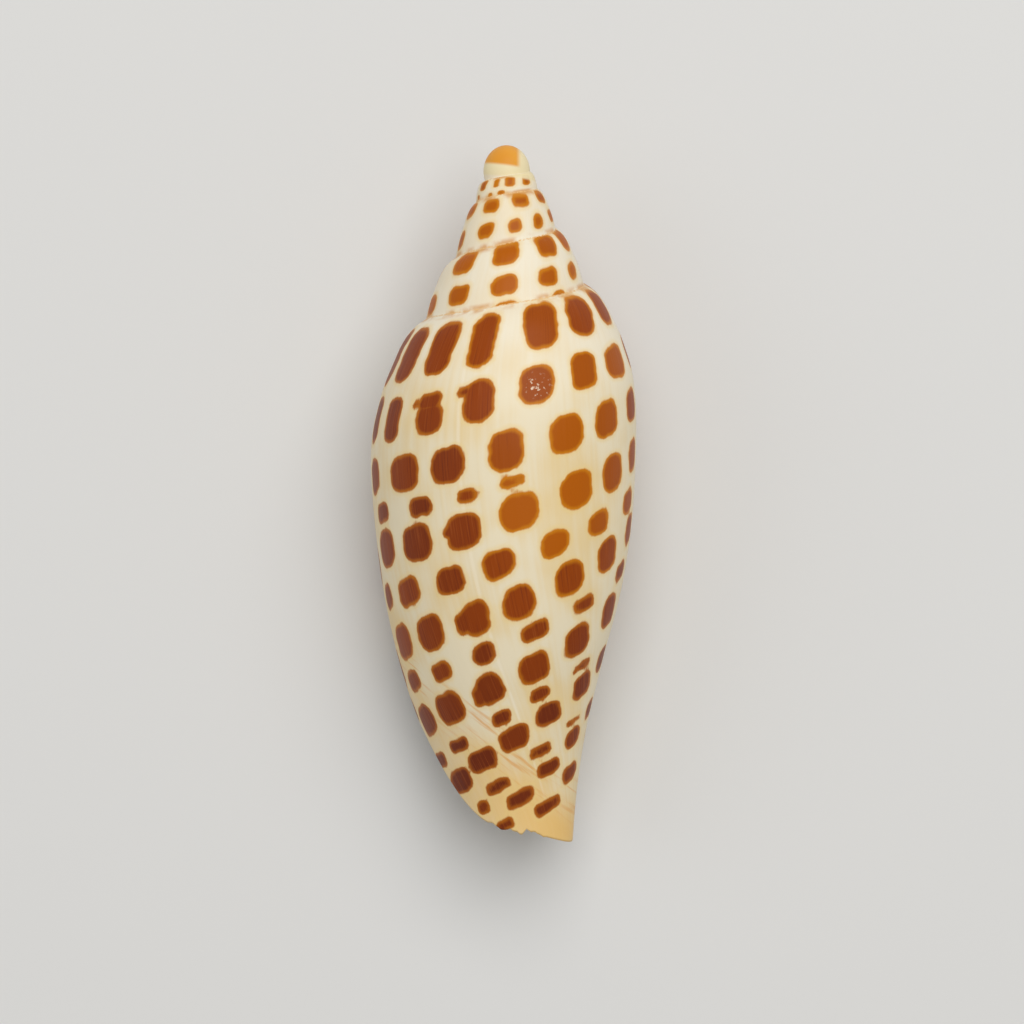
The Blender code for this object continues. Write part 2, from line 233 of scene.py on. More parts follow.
# Darkness of a spot from 0 to 1: on the spire and the last whorl, more to the left
# (degrees) and to the front (mm), less where it is palest, and the most it can be
SPIRE_DARK = 0.05
BODY_DARK = 0.3
LEFT_DARK = 0.35
LEFT_ANGLES = (90.0, 130.0)
FRONT_DARK = 0.5
FRONT_DEPTHS = (50.0, 90.0)
AMBER_LIGHTER = 0.45
MOST_DARK = 0.9
# Hidden spots: where the rows start on the spire, for the two upper rows and the others,
# where they end past the lip, their turn of full height, and the scatter of their angle
# in degrees, depth in mm, and share of width, height and darkness
UPPER_ROWS = 2
ROW_STARTS = (-1140.0, -420.0)
PAST_LIP = 14.0
FULL_HEIGHT_TURN = 0.15
SCATTER = (2.5, 0.4, 0.12, 0.12, 0.12)
SHADE_SCATTER = 0.12
SPOT_SEED = 5
# Tolerance on a row, and the turn and row given to faces that carry no pattern
ROW_MATCH = 0.001
PLAIN_TURN = -3.0
PLAIN_ROW = 35.0


def curve(x, knots):
    """Smooth curve through the knots: cubic pieces with averaged slopes."""
    kx, ky = np.array(knots).T
    secant = np.diff(ky) / np.diff(kx)
    width = np.diff(kx)
    middle = (secant[:-1] * width[1:] + secant[1:] * width[:-1]) / (width[1:] + width[:-1])
    slope = np.concatenate(([secant[0]], middle, [secant[-1]]))
    x = np.clip(x, kx[0], kx[-1])
    i = np.clip(np.searchsorted(kx, x, side="right") - 1, 0, len(kx) - 2)
    u = (x - kx[i]) / width[i]
    start = ky[i] * (1 + 2 * u) * (1 - u) ** 2 + slope[i] * width[i] * u * (1 - u) ** 2
    end = ky[i + 1] * u * u * (3 - 2 * u) + slope[i + 1] * width[i] * u * u * (u - 1)
    return start + end


def smooth_step(x):
    """Zero below 0, one above 1, and 3x^2 - 2x^3 between them."""
    x = np.clip(x, 0.0, 1.0)
    return x * x * (3 - 2 * x)


def rise(x, span):
    """Smooth step of the share of the span that x has passed."""
    return smooth_step((x - span[0]) / (span[1] - span[0]))


def uneven(turn, row, knots):
    """Departure of a row from even growth, shared between its upper and lower suture."""
    share = np.clip((row - SUTURE_DEPTH) / (COVERED_DEPTH - SUTURE_DEPTH), 0.0, 1.0)
    return (1 - share) * curve(turn, knots) + share * curve(turn + 1, knots)


def depth_of(turn, row):
    """Depth below the apex: profile depth times the growth factor to the power of the turn."""
    return row * DEPTH_GROWTH ** turn + uneven(turn, row, SUTURE_DROP)


def outer_radius(turn, row):
    """Radius of the outside: profile radius times the growth factor to the power of the turn."""
    return curve(row, PROFILE) * RADIUS_GROWTH ** turn + uneven(turn, row, SUTURE_SWELL)


def last_row(turn):
    """Profile depth where the wall ends, the lesser of the free edge and the ridge."""
    degrees = 180.0 + 360.0 * turn
    free = curve(np.maximum(degrees, 0.0), MARGIN)
    for angle, out in CHIPS:
        free = free + out * np.exp(-((degrees - angle) / CHIP_WIDTH) ** 2)
    free = free / DEPTH_GROWTH ** turn
    return np.where(degrees > 0.0, np.minimum(free, RIDGE_DEPTH), RIDGE_DEPTH)


def place(turn, row, radius):
    """Point of the coil: radius at an angle that grows by a full circle in each turn."""
    turn, row, radius = np.broadcast_arrays(turn, row, radius)
    angle = math.pi + 2 * math.pi * turn
    return np.stack((radius * np.cos(angle), -depth_of(turn, row), radius * np.sin(angle)), -1)


def edge_fade(turn, row, end):
    """A quarter circle from zero on the free edge to one a rounding length away."""
    back = (LIP_TURN - turn) * 2 * math.pi * outer_radius(turn, row)
    up = (end - row) * DEPTH_GROWTH ** turn
    fade = 1.0
    for distance in (back, up):
        part = 1 - np.clip(distance / LIP_ROUND, 0.0, 1.0)
        fade = fade * np.sqrt(1 - part * part)
    return fade


def inner_radius(turn, row, end):
    """Outside less the wall measured square to it, never below the whorl it lies on."""
    outer = outer_radius(turn, row)
    gain = outer_radius(turn, row + PROFILE_STEP) - outer_radius(turn, row - PROFILE_STEP)
    slope = gain / (2 * PROFILE_STEP * DEPTH_GROWTH ** turn)
    heavy = rise(row, HEAVY_DEPTHS) * (1 - rise(turn, HEAVY_TURNS))
    thick = (WALL + (RIDGE_WALL - WALL) * heavy) * np.sqrt(1 + slope * slope)
    wall = outer - thick * edge_fade(turn, row, end)
    inner_row = row * DEPTH_GROWTH
    floor = outer_radius(turn - 1, inner_row) + WEDGE_OPENING * (row - SUTURE_DEPTH - CAVITY_START)
    covered = inner_row < RIDGE_DEPTH
    return np.where(covered, np.minimum(np.maximum(wall, floor), outer), wall)


def fold_height(turn, row):
    """Sum of rounded ridges on the pillar, dying out at the edge of the aperture."""
    height = 0.0
    for centre in FOLDS:
        height = height + np.clip(1 - ((row - centre) / FOLD_HALF_WIDTH) ** 2, 0.0, 1.0) ** 1.5
    fade = smooth_step((LIP_TURN - 1 - turn) / FOLD_FADE_TURNS)
    return FOLD_HEIGHT * height * fade * RADIUS_GROWTH ** turn


class Skin:
    """Points and four-sided faces of the shell, each corner with its turn, row and side."""

    def __init__(self):
        self.points = []
        self.faces = []
        self.marks = []
        self.count = 0

    def add(self, points):
        """Store an array of points and give back their numbers in its shape."""
        flat = points.reshape(-1, 3)
        self.points.append(flat)
        numbers = np.arange(self.count, self.count + len(flat)).reshape(points.shape[:-1])
        self.count += len(flat)
        return numbers

    def patch(self, numbers, turn, row, inside):
        """Faces between neighbouring numbers of a grid, with the marks of their corners."""
        turn, row, inside, _ = np.broadcast_arrays(turn, row, inside, numbers)
        for values, store in ((numbers, self.faces), (np.stack((turn, row, inside), -1), self.marks)):
            corners = np.stack((values[:-1, :-1], values[1:, :-1], values[1:, 1:], values[:-1, 1:]), 2)
            store.append(corners.reshape((-1, 4) + values.shape[2:]))


def wind_coil():
    """The wall as patches on a grid of turns and rows, all sharing their edges."""
    skin = Skin()
    within = np.concatenate(([0.0], LIP_STEPS, np.arange(1, STEPS_PER_TURN))) / STEPS_PER_TURN
    per_turn = len(within)
    back = np.concatenate([within + whole for whole in range(math.ceil(TURNS_BUILT))])
    turns = LIP_TURN - back[back <= TURNS_BUILT][::-1]
    mouth = len(turns) - 1 - per_turn
    start_of_cavity = int(np.argmin(np.abs(turns - (LIP_TURN - CAVITY_TURNS))))
    shares = np.concatenate((np.linspace(0.0, EVEN_SHARE, WALL_ROWS), EDGE_ROWS))
    upper = np.linspace(SUTURE_DEPTH, COVERED_DEPTH, SPIRE_ROWS + 1)[:-1]

    span = turns[start_of_cavity:]
    end = last_row(span)[:, None]
    lower = COVERED_DEPTH + (end - COVERED_DEPTH) * shares
    rows = np.hstack((np.repeat(upper[None, :], len(span), 0), lower))
    body_turns = turns[mouth:, None]
    body_rows = rows[mouth - start_of_cavity:]
    body = skin.add(place(body_turns, body_rows, outer_radius(body_turns, body_rows)))
    early = turns[:mouth, None]
    spire = skin.add(place(early, upper, outer_radius(early, upper)))
    outside = np.vstack((spire, body[:, :SPIRE_ROWS]))
    strip = np.hstack((outside[:mouth + 1], outside[per_turn:, :1]))
    body[0, SPIRE_ROWS] = body[-1, 0]
    skin.patch(strip, turns[:mouth + 1, None], np.append(upper, COVERED_DEPTH), 0.0)
    skin.patch(body, body_turns, body_rows, 0.0)

    cavity = turns[start_of_cavity:-1, None]
    ends = rows[:-1, -1:]
    start = SUTURE_DEPTH + CAVITY_START * edge_fade(cavity, SUTURE_DEPTH, ends)
    inner_rows = start + (rows[:-1] - SUTURE_DEPTH) * (ends - start) / (ends - SUTURE_DEPTH)
    inner_wall = inner_radius(cavity, inner_rows, ends)
    inner = skin.add(place(cavity, inner_rows[:, 1:-1], inner_wall[:, 1:-1]))

    old = cavity - 1
    old_rows = start * DEPTH_GROWTH + (RIDGE_DEPTH - start * DEPTH_GROWTH) * shares
    old_radius = outer_radius(old, old_rows) + fold_height(old, old_rows)
    parietal = np.vstack((skin.add(place(old, old_rows, old_radius)), body[:1, SPIRE_ROWS:]))
    mouth_rows = np.vstack((old_rows, rows[mouth - start_of_cavity, None, SPIRE_ROWS:]))
    glazed = GLAZE * smooth_step((LIP_TURN - span[:, None]) / GLAZE_TURNS)
    skin.patch(parietal, span[:, None] - 1, mouth_rows, glazed)

    rim = np.concatenate((parietal[per_turn:-1, -1:], body[:-1, -1:]))
    inside = np.vstack((np.hstack((parietal[:-1, :1], inner, rim)), body[-1:]))
    inside_rows = np.vstack((inner_rows, rows[-1:]))
    skin.patch(inside, span[:, None], inside_rows, 1.0)

    base_turns = turns[start_of_cavity - per_turn:start_of_cavity + 1]
    axis = skin.add(place(base_turns, RIDGE_DEPTH, 0.0))
    skin.patch(np.stack((parietal[:per_turn + 1, -1], axis), -1), base_turns[:, None], RIDGE_DEPTH, 1.0)
    closing = [np.concatenate((inside[0], axis[::-1], parietal[0, ::-1][:-1]))]
    top = skin.add(place(turns[:1], SUTURE_DEPTH, 0.0))
    first = strip[:per_turn + 1, 0]
    closing += [np.array((top[0], one, two)) for one, two in zip(first[:-1], first[1:])]
    closing.append(np.append(top, strip[0]))
    return skin, closing


def spot_list(seed):
    """All spots: the listed ones, and on the far side others at even spacing with some scatter."""
    rng = np.random.default_rng(seed)
    spots = []
    for number, (share, height, seen) in enumerate(SPOT_ROWS):
        below = seen[len(seen) // 2][1]
        first = ROW_STARTS[0] if number < UPPER_ROWS else ROW_STARTS[1]
        ends = sorted([first] + [spot[0] for spot in seen] + [LIP_ANGLE + PAST_LIP])
        spots += [spot + (rng.uniform(-SHADE_SCATTER, SHADE_SCATTER),) for spot in seen]
        for left, right in zip(ends[:-1], ends[1:]):
            spacing = SPACING[0] if (left + right) / 2 > SPACING[2] else SPACING[1]
            count = int(round((right - left) / spacing)) - 1
            for angle in left + (right - left) * np.arange(1, count + 1) / (count + 1):
                scatter = rng.uniform(-1.0, 1.0, len(SCATTER)) * SCATTER
                if SEEN_SIDE[0] < angle % 360.0 < SEEN_SIDE[1]:
                    continue
                turn = (angle - 180.0) / 360.0
                line = SUTURE_DEPTH + below * (ROW_DRIFT / DEPTH_GROWTH) ** turn
                wide = share * math.radians(spacing) * float(outer_radius(turn, line))
                tall = height * ROW_DRIFT ** (turn + FULL_HEIGHT_TURN)
                spots.append((angle + scatter[0], below + scatter[1], wide * (1 + scatter[2]),
                              tall * (1 + scatter[3]), scatter[4]))
    return spots


def spot_distance(turn, row):
    """Distance in mm from the edge of the nearest spot, less than zero in it, and its darkness.

    A spot is a rounded box with two corners cut.  Its top and bottom follow the
    row of spots round the shell and its sides follow the growth lines.
    """
    angle = 180.0 + 360.0 * turn
    depth = row * DEPTH_GROWTH ** turn
    mm_per_degree = np.radians(outer_radius(turn, row))
    nearest = np.full(turn.shape, FAR_FROM_SPOT)
    dark = np.full(turn.shape, 0.5)
    for middle, below, width, height, shade in spot_list(SPOT_SEED):
        at = (middle - 180.0) / 360.0
        line = SUTURE_DEPTH + below * (ROW_DRIFT / DEPTH_GROWTH) ** at
        grow = DEPTH_GROWTH ** at
        radius = float(outer_radius(at, line))
        fall = SUTURE_DEPTH * grow * math.log(DEPTH_GROWTH)
        fall += below * ROW_DRIFT ** at * math.log(ROW_DRIFT)
        row_slope = math.atan(fall / (2 * math.pi * radius))
        swing = float(curve(line + SWING_STEP, GROWTH_LEAN) - curve(line - SWING_STEP, GROWTH_LEAN))
        side_slope = math.atan(math.radians(swing / (2 * SWING_STEP) * radius) / grow)
        near = np.nonzero(np.abs(angle - middle) < SPOT_REACH)[0]
        left = (angle[near] - middle) * mm_per_degree[near]
        down = depth[near] - line * grow
        level = 1 - FRONT_LEVELLING * float(rise(line, LEVEL_DEPTHS))
        middle_slope = level * (row_slope + side_slope) / 2
        skew = min(row_slope - side_slope, math.radians(MOST_SKEW))
        row_slope, side_slope = middle_slope + skew / 2, middle_slope - skew / 2
        square = math.cos(skew)
        along = (left * math.cos(side_slope) + down * math.sin(side_slope)) / square
        across = (down * math.cos(row_slope) - left * math.sin(row_slope)) / square
        tall = height * math.cos(row_slope) ** 0.5
        corner = CORNER_SHARE * min(width, tall)
        over = np.abs(along) - width / 2 + corner, np.abs(across) - tall / 2 + corner
        box = np.hypot(np.maximum(over[0], 0), np.maximum(over[1], 0))
        box += np.minimum(np.maximum(*over), 0)
        kept = CORNER_CUT + (1 - CORNER_CUT) * float(rise(line, WHOLE_DEPTHS))
        cut = (np.abs(along - across) - kept * (width + tall) / 2) / math.sqrt(2)
        distance = np.maximum(box - corner, cut)
        amber = math.exp(-((middle - AMBER_SPOTS[0]) / AMBER_SPOTS[2]) ** 2
                         - ((line - AMBER_SPOTS[1]) / AMBER_SPOTS[3]) ** 2)
        closer = distance < nearest[near]
        to_left = LEFT_DARK * float(rise(middle, LEFT_ANGLES)) if middle > 0 else 0.0
        to_front = FRONT_DARK * float(rise(line, FRONT_DEPTHS))
        plain = BODY_DARK if middle > 0 else SPIRE_DARK
        dark[near[closer]] = min(plain + max(to_left, to_front) + shade - AMBER_LIGHTER * amber, MOST_DARK)
        nearest[near] = np.minimum(nearest[near], distance)
    return nearest, dark


def set_marks(mesh, marks):
    """Give the mesh one number per face corner for each mark."""
    for mark, values in marks.items():
        mesh.attributes.new(mark, "FLOAT", "CORNER").data.foreach_set("value", values.astype(np.float32))


def plain_marks(corners, inside):
    """Marks of a piece without spots, the same at all its corners."""
    values = {"row": PLAIN_ROW, "inside": inside, "spot": FAR_FROM_SPOT, "dark": 0.0,
              "suture": FAR_FROM_SUTURE, "growth": 0.0}
    return {mark: np.full(corners, value) for mark, value in values.items()}


def make_mesh(name, points, faces, marks):
    """Mesh object from points in mm, welded, with all its faces turned outward."""
    mesh = bpy.data.meshes.new(name)
    mesh.from_pydata((points * MM).tolist(), [], faces)
    set_marks(mesh, marks)
    item = bpy.data.objects.new(name, mesh)
    bpy.context.collection.objects.link(item)
    work = bmesh.new()
    work.from_mesh(mesh)
    bmesh.ops.remove_doubles(work, verts=work.verts, dist=WELD)
    bmesh.ops.delete(work, geom=[v for v in work.verts if not v.link_faces], context="VERTS")
    bmesh.ops.recalc_face_normals(work, faces=work.faces)
    work.to_mesh(mesh)
    work.free()
    return item


def pillar_rings():
    """Circles of tapering radius round points of the pillar's centre line."""
    path = np.array(PILLAR)
    along = np.linspace(0, len(path) - 1, PILLAR_RINGS)
    x, depth, z, radius = (np.interp(along, np.arange(len(path)), column)[:, None] for column in path.T)
    angle = np.linspace(0, 2 * math.pi, PILLAR_SIDES, endpoint=False)
    return np.stack((x + radius * np.cos(angle), -depth + 0 * angle, z + radius * np.sin(angle)), -1)


def join(base, tool):
    """Union of two solids, kept in the first."""
    modifier = base.modifiers.new("union", "BOOLEAN")
    modifier.operation = "UNION"
    modifier.solver = "MANIFOLD"
    modifier.object = tool
    bpy.context.view_layer.objects.active = base
    bpy.ops.object.modifier_apply(modifier=modifier.name)
    bpy.data.objects.remove(tool, do_unlink=True)


skin, closing = wind_coil()
quads = np.concatenate(skin.faces)
marks = np.concatenate(skin.marks).reshape(-1, 3)
faces = quads.tolist() + [c.tolist() for c in closing]
extra = sum(len(c) for c in closing)
plain = (PLAIN_TURN, PLAIN_ROW, 1.0)
turn, row, inside = (np.append(marks[:, k], np.full(extra, value)) for k, value in enumerate(plain))
distance, dark = spot_distance(turn, row)
below_suture = (row - SUTURE_DEPTH) * DEPTH_GROWTH ** turn
above_suture = (COVERED_DEPTH - row) * DEPTH_GROWTH ** turn
on_spire = (turn < LIP_TURN - 1) & (row <= COVERED_DEPTH + ROW_MATCH)
suture = np.where(on_spire, np.minimum(below_suture, above_suture), below_suture)
growth = 180.0 + 360.0 * turn + curve(row, GROWTH_LEAN)
shell = make_mesh("shell_skin", np.concatenate(skin.points), faces, {
    "row": row, "inside": inside, "spot": distance, "dark": dark, "suture": suture,
    "growth": growth})

rings = pillar_rings()
pillar_skin = Skin()
numbers = pillar_skin.add(rings)
pillar_skin.patch(np.hstack((numbers, numbers[:, :1])), 0.0, PLAIN_ROW, 1.0)
pillar_faces = np.concatenate(pillar_skin.faces).tolist() + [numbers[0].tolist(), numbers[-1].tolist()]
corners = sum(len(f) for f in pillar_faces)
pillar = make_mesh("pillar", rings.reshape(-1, 3), pillar_faces, plain_marks(corners, 1.0))
join(shell, pillar)

bpy.ops.mesh.primitive_uv_sphere_add(
    segments=DOME_SEGMENTS, ring_count=DOME_RINGS, radius=1.0, scale=[half * MM for half in DOME_SIZE],
    location=(DOME_CENTRE[0] * MM, -DOME_CENTRE[1] * MM, DOME_CENTRE[2] * MM))
dome = bpy.context.active_object
dome.data.transform(dome.matrix_world)
dome.matrix_world = Matrix.Identity(4)
set_marks(dome.data, plain_marks(len(dome.data.loops), 0.0))
join(shell, dome)

low, high = (np.array(corner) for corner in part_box("shell"))
shell.data.transform(Matrix.Rotation(math.radians(LEAN), 4, "Z"))
shell.data.transform(Matrix.Rotation(math.radians(TILT), 4, "X"))
points = np.empty(len(shell.data.vertices) * 3)
shell.data.vertices.foreach_get("co", points)
points = points.reshape(-1, 3)
points += (low + high) / 2 - (points.min(0) + points.max(0)) / 2
points[:, 2] += -points[:, 2].min() - FLAT_CUT * MM
points[:, 2] = np.maximum(points[:, 2], 0.0)
shell.data.vertices.foreach_set("co", points.ravel())
shell.data.shade_smooth()


def colour(red, green, blue):
    """A colour given on the 0 to 255 scale of a screen, as linear light."""
    share = np.array((red, green, blue)) / 255.0
    light = np.where(share < 0.04045, share / 12.92, ((share + 0.055) / 1.055) ** 2.4)
    return (*light, 1.0)


def wire(tree, kind, sockets, **settings):
    """New node: its settings, then each socket set to a value or joined to an output."""
    new = tree.nodes.new(kind)
    for name, value in settings.items():
        setattr(new, name, value)
    for name, value in sockets.items():
        if isinstance(value, bpy.types.NodeSocket):
            tree.links.new(value, new.inputs[name])
        else:
            new.inputs[name].default_value = value
    return new


def math_node(tree, operation, one, two=0.0):
    """One step of arithmetic on two numbers."""
    return wire(tree, "ShaderNodeMath", {0: one, 1: two}, operation=operation).outputs[0]


def fade(tree, value, low, high):
    """Rises smoothly from 0 at low to 1 at high, which may be the smaller."""
    sockets = {"Value": value, "From Min": low, "From Max": high}
    return wire(tree, "ShaderNodeMapRange", sockets, interpolation_type="SMOOTHSTEP").outputs[0]


def mix(tree, share, one, two):
    """Colour one where the share is 0 and two where it is 1."""
    return wire(tree, "ShaderNodeMix", {0: share, 6: one, 7: two}, data_type="RGBA").outputs[2]


def noise(tree, vector, scale, detail=3.0):
    """Cloudy noise from 0 to 1."""
    sockets = {"Vector": vector, "Scale": scale, "Detail": detail}
    return wire(tree, "ShaderNodeTexNoise", sockets).outputs["Fac"]


def mark_value(tree, name):
    """The number that the mesh carries under this name."""
    return wire(tree, "ShaderNodeAttribute", {}, attribute_name=name).outputs["Fac"]


# Colours, on the 0 to 255 scale of a screen
CREAM = (238, 224, 192)
YELLOW_CREAM = (234, 209, 158)
WHITE_LINE = (242, 232, 210)
SCAR_CREAM = (245, 232, 205)
# Whiter cream painted on the upper part, as light falling from above
TOP_LIGHT_CREAM = (244, 236, 218)
FRONT_GOLD = (238, 194, 116)
EDGE_ORANGE = (226, 158, 74)
PALE_BROWN = (180, 92, 0)
MID_BROWN = (146, 62, 4)
DARK_BROWN = (110, 42, 14)
STREAK_TAN = (164, 84, 34)
STREAK_PLUM = (88, 32, 24)
RIM_AMBER = (202, 122, 14)
RIM_BROWN = (172, 92, 20)
HALO_YELLOW = (238, 206, 134)
# Colour of the painted glints, a painted highlight
GLINT_PINK = (250, 226, 196)
SUTURE_STAIN = (208, 138, 50)
SUTURE_THREAD = (232, 190, 132)
TIP_YELLOW = (238, 222, 176)
CAP_ORANGE = (222, 144, 44)
CAP_GOLD = (230, 160, 60)
INNER_WHITE = (240, 230, 210)
INNER_CREAM = (240, 224, 196)

# Clouds, growth streaks and the waves of a spot's outline: scale and detail of the noise
BROAD_CLOUDS = (0.09, 2.0)
GROWTH_STREAKS = (0.35, 4.0)
FINE_STREAKS = (1.4, 3.0)
BAND_STREAKS = (1.1, 3.0)
OUTLINE_WAVES = (0.55, 1.0)
# Noise for the specks of the painted glints
GLINT_SPECKS = (2.6, 3.0)
STAIN_CLOUDS = (0.35, 3.0)
LINE_STRETCH = 0.08
BAND_STRETCH = 0.15

# Yellow clouds: their parts, where they start and are full; the same for white lines
CLOUD_PART = 1.5
STREAK_PART = 0.5
YELLOW_SPAN = (0.8, 1.25)
WHITE_SPAN = (0.5, 0.8)
WHITE_STRENGTH = 0.12
# An old lip edge across the back, in degrees, and painted light that makes the upper part whiter, in mm up
# the shell
SCAR_ANGLE = 110.0
SCAR_SPAN = (1.2, 0.3)
SCAR_STRENGTH = 0.5
TOP_LIGHT_SPAN = (8.0, 24.0)
TOP_LIGHT_STRENGTH = 0.55

# Front end: the slanting band's slope and place, and spans in mm past it and across
BAND_SLOPE = 0.78
BAND_PLACE = 31.3
WARM_SPAN = (0.5, -6.0)
WARM_ACROSS = (-9.0, 7.0)
WARM_GAIN = 0.6
WARM_LEAST = 0.3
BAND_STARTS = (2.5, 0.5)
BAND_ENDS = (-7.0, -1.0)
ORANGE_SPAN = (0.5, 0.7)
ORANGE_STRENGTH = 0.75

# Spots: waves and raggedness of the outline in mm, then spans in mm from the outline
WAVE_SIZE = 0.7
RAGGED_SIZE = 0.12
HALO_SPAN = (0.7, 0.0)
HALO_STRENGTH = 0.5
RIM_SPAN = (0.12, -0.14)
CORE_SPAN = (-0.10, -0.65)
# Spans of darkness for the browns, the streaks and the rim, and of noise for the streaks
PALE_TO_MID = (0.0, 0.45)
MID_TO_DARK = (0.45, 0.95)
STREAKED_SPAN = (0.1, 0.5)
RIM_DARK_SPAN = (0.2, 0.9)
TAN_SPAN = (0.52, 0.75)
TAN_STRENGTH = 0.6
PLUM_SPAN = (0.48, 0.25)
PLUM_STRENGTH = 0.5

# Painted glints: their reach in mm, the noise that shows as pale glint specks, and the strength
GLINT_SPAN = (2.2, 0.8)
GLINT_SPECK_SPAN = (0.58, 0.72)
GLINT_STRENGTH = 0.8
# Suture: noise that is stained, reach of the stain and of the thread in mm, broken by noise
STAINED_SPAN = (0.42, 0.62)
STAIN_REACH = (0.8, 0.1)
STAIN_STRENGTH = 0.75
THREAD_REACH = (0.14, 0.04)
THREAD_SPAN = (0.35, 0.6)
# Tip: slope of the cap's edge, where the cap, its pale side and the pale band start, in mm
CAP_SLOPE = 0.13
CAP_SPAN = (42.05, 42.55)
CAP_SIDE = (2.4, 1.6)
BAND_SPAN = (40.6, 41.0)
BAND_STRENGTH = 0.9
CAP_CLOUDS = (0.4, 0.6)
INNER_CLOUDS = (0.3, 0.7)

GLOSS_ROUGHNESS = 0.42
GLOSS_LEVEL = 0.16
LINE_RELIEF = 0.25
LINE_HEIGHT = 0.0002

glaze = bpy.data.materials.new("shell")
glaze.use_nodes = True
tree = glaze.node_tree
shader = tree.nodes["Principled BSDF"]
spot_edge = mark_value(tree, "spot")
dark_mark = mark_value(tree, "dark")
row_mark = mark_value(tree, "row")
inside_mark = mark_value(tree, "inside")
suture_mark = mark_value(tree, "suture")
growth_mark = mark_value(tree, "growth")
place_mm = wire(tree, "ShaderNodeVectorMath", {0: wire(tree, "ShaderNodeTexCoord", {}).outputs["Object"],
                "Scale": 1 / MM}, operation="SCALE").outputs[0]
stretched = math_node(tree, "MULTIPLY", row_mark, LINE_STRETCH)
lines = wire(tree, "ShaderNodeCombineXYZ", {"X": growth_mark, "Y": stretched}).outputs[0]

broad = noise(tree, place_mm, *BROAD_CLOUDS)
streaks = noise(tree, lines, *GROWTH_STREAKS)
fine_streaks = noise(tree, lines, *FINE_STREAKS)
place_parts = wire(tree, "ShaderNodeSeparateXYZ", {"Vector": place_mm})
x_mm, y_mm = place_parts.outputs["X"], place_parts.outputs["Y"]

# Ground: white cream and yellow cream in soft bands along the growth lines
clouds = math_node(tree, "MULTIPLY", broad, CLOUD_PART)
yellow = math_node(tree, "ADD", clouds, math_node(tree, "MULTIPLY", streaks, STREAK_PART))
ground = mix(tree, fade(tree, yellow, *YELLOW_SPAN), colour(*CREAM), colour(*YELLOW_CREAM))
fine = math_node(tree, "MULTIPLY", fade(tree, fine_streaks, *WHITE_SPAN), WHITE_STRENGTH)
ground = mix(tree, fine, ground, colour(*WHITE_LINE))
scar = math_node(tree, "ABSOLUTE", math_node(tree, "SUBTRACT", growth_mark, SCAR_ANGLE))
scar = math_node(tree, "MULTIPLY", fade(tree, scar, *SCAR_SPAN), SCAR_STRENGTH)
ground = mix(tree, scar, ground, colour(*SCAR_CREAM))
# Painted light: the upper part whiter, as if lit more from above
painted_top_light = math_node(tree, "MULTIPLY", fade(tree, y_mm, *TOP_LIGHT_SPAN), TOP_LIGHT_STRENGTH)
ground = mix(tree, painted_top_light, ground, colour(*TOP_LIGHT_CREAM))

# Front end: warmer past a slanting band of old growth edges
slant = wire(tree, "ShaderNodeMath", {0: x_mm, 1: BAND_SLOPE, 2: BAND_PLACE}, operation="MULTIPLY_ADD")
past_band = math_node(tree, "ADD", y_mm, slant.outputs[0])
warm = fade(tree, past_band, *WARM_SPAN)
to_tip = math_node(tree, "MULTIPLY", fade(tree, x_mm, *WARM_ACROSS), WARM_GAIN)
warm = math_node(tree, "MULTIPLY", warm, math_node(tree, "ADD", to_tip, WARM_LEAST))
ground = mix(tree, warm, ground, colour(*FRONT_GOLD))
stretched = math_node(tree, "MULTIPLY", x_mm, BAND_STRETCH)
band_lines = wire(tree, "ShaderNodeCombineXYZ", {"X": past_band, "Y": stretched})
band_noise = noise(tree, band_lines.outputs[0], *BAND_STREAKS)
band_start, band_end = fade(tree, past_band, *BAND_STARTS), fade(tree, past_band, *BAND_ENDS)
near_band = math_node(tree, "MULTIPLY", band_start, band_end)
orange = math_node(tree, "MULTIPLY", near_band, fade(tree, band_noise, *ORANGE_SPAN))
ground = mix(tree, math_node(tree, "MULTIPLY", orange, ORANGE_STRENGTH), ground, colour(*EDGE_ORANGE))

# Spots: an amber edge, darker within, streaked along the growth lines
waves = math_node(tree, "SUBTRACT", noise(tree, place_mm, *OUTLINE_WAVES), 0.5)
wavy = math_node(tree, "MULTIPLY", waves, WAVE_SIZE)
edge = math_node(tree, "ADD", spot_edge, wavy)
ragged = math_node(tree, "MULTIPLY", math_node(tree, "SUBTRACT", fine_streaks, 0.5), RAGGED_SIZE)
edge = math_node(tree, "ADD", edge, ragged)
halo = math_node(tree, "MULTIPLY", fade(tree, edge, *HALO_SPAN), HALO_STRENGTH)
rim = fade(tree, edge, *RIM_SPAN)
core = fade(tree, edge, *CORE_SPAN)
brown = mix(tree, fade(tree, dark_mark, *PALE_TO_MID), colour(*PALE_BROWN), colour(*MID_BROWN))
brown = mix(tree, fade(tree, dark_mark, *MID_TO_DARK), brown, colour(*DARK_BROWN))
streaked = fade(tree, dark_mark, *STREAKED_SPAN)
lighter = math_node(tree, "MULTIPLY", fade(tree, fine_streaks, *TAN_SPAN), streaked)
brown = mix(tree, math_node(tree, "MULTIPLY", lighter, TAN_STRENGTH), brown, colour(*STREAK_TAN))
darker = math_node(tree, "MULTIPLY", fade(tree, fine_streaks, *PLUM_SPAN), streaked)
brown = mix(tree, math_node(tree, "MULTIPLY", darker, PLUM_STRENGTH), brown, colour(*STREAK_PLUM))
amber = mix(tree, fade(tree, dark_mark, *RIM_DARK_SPAN), colour(*RIM_AMBER), colour(*RIM_BROWN))
marked = mix(tree, halo, ground, colour(*HALO_YELLOW))
marked = mix(tree, rim, marked, mix(tree, core, amber, brown))

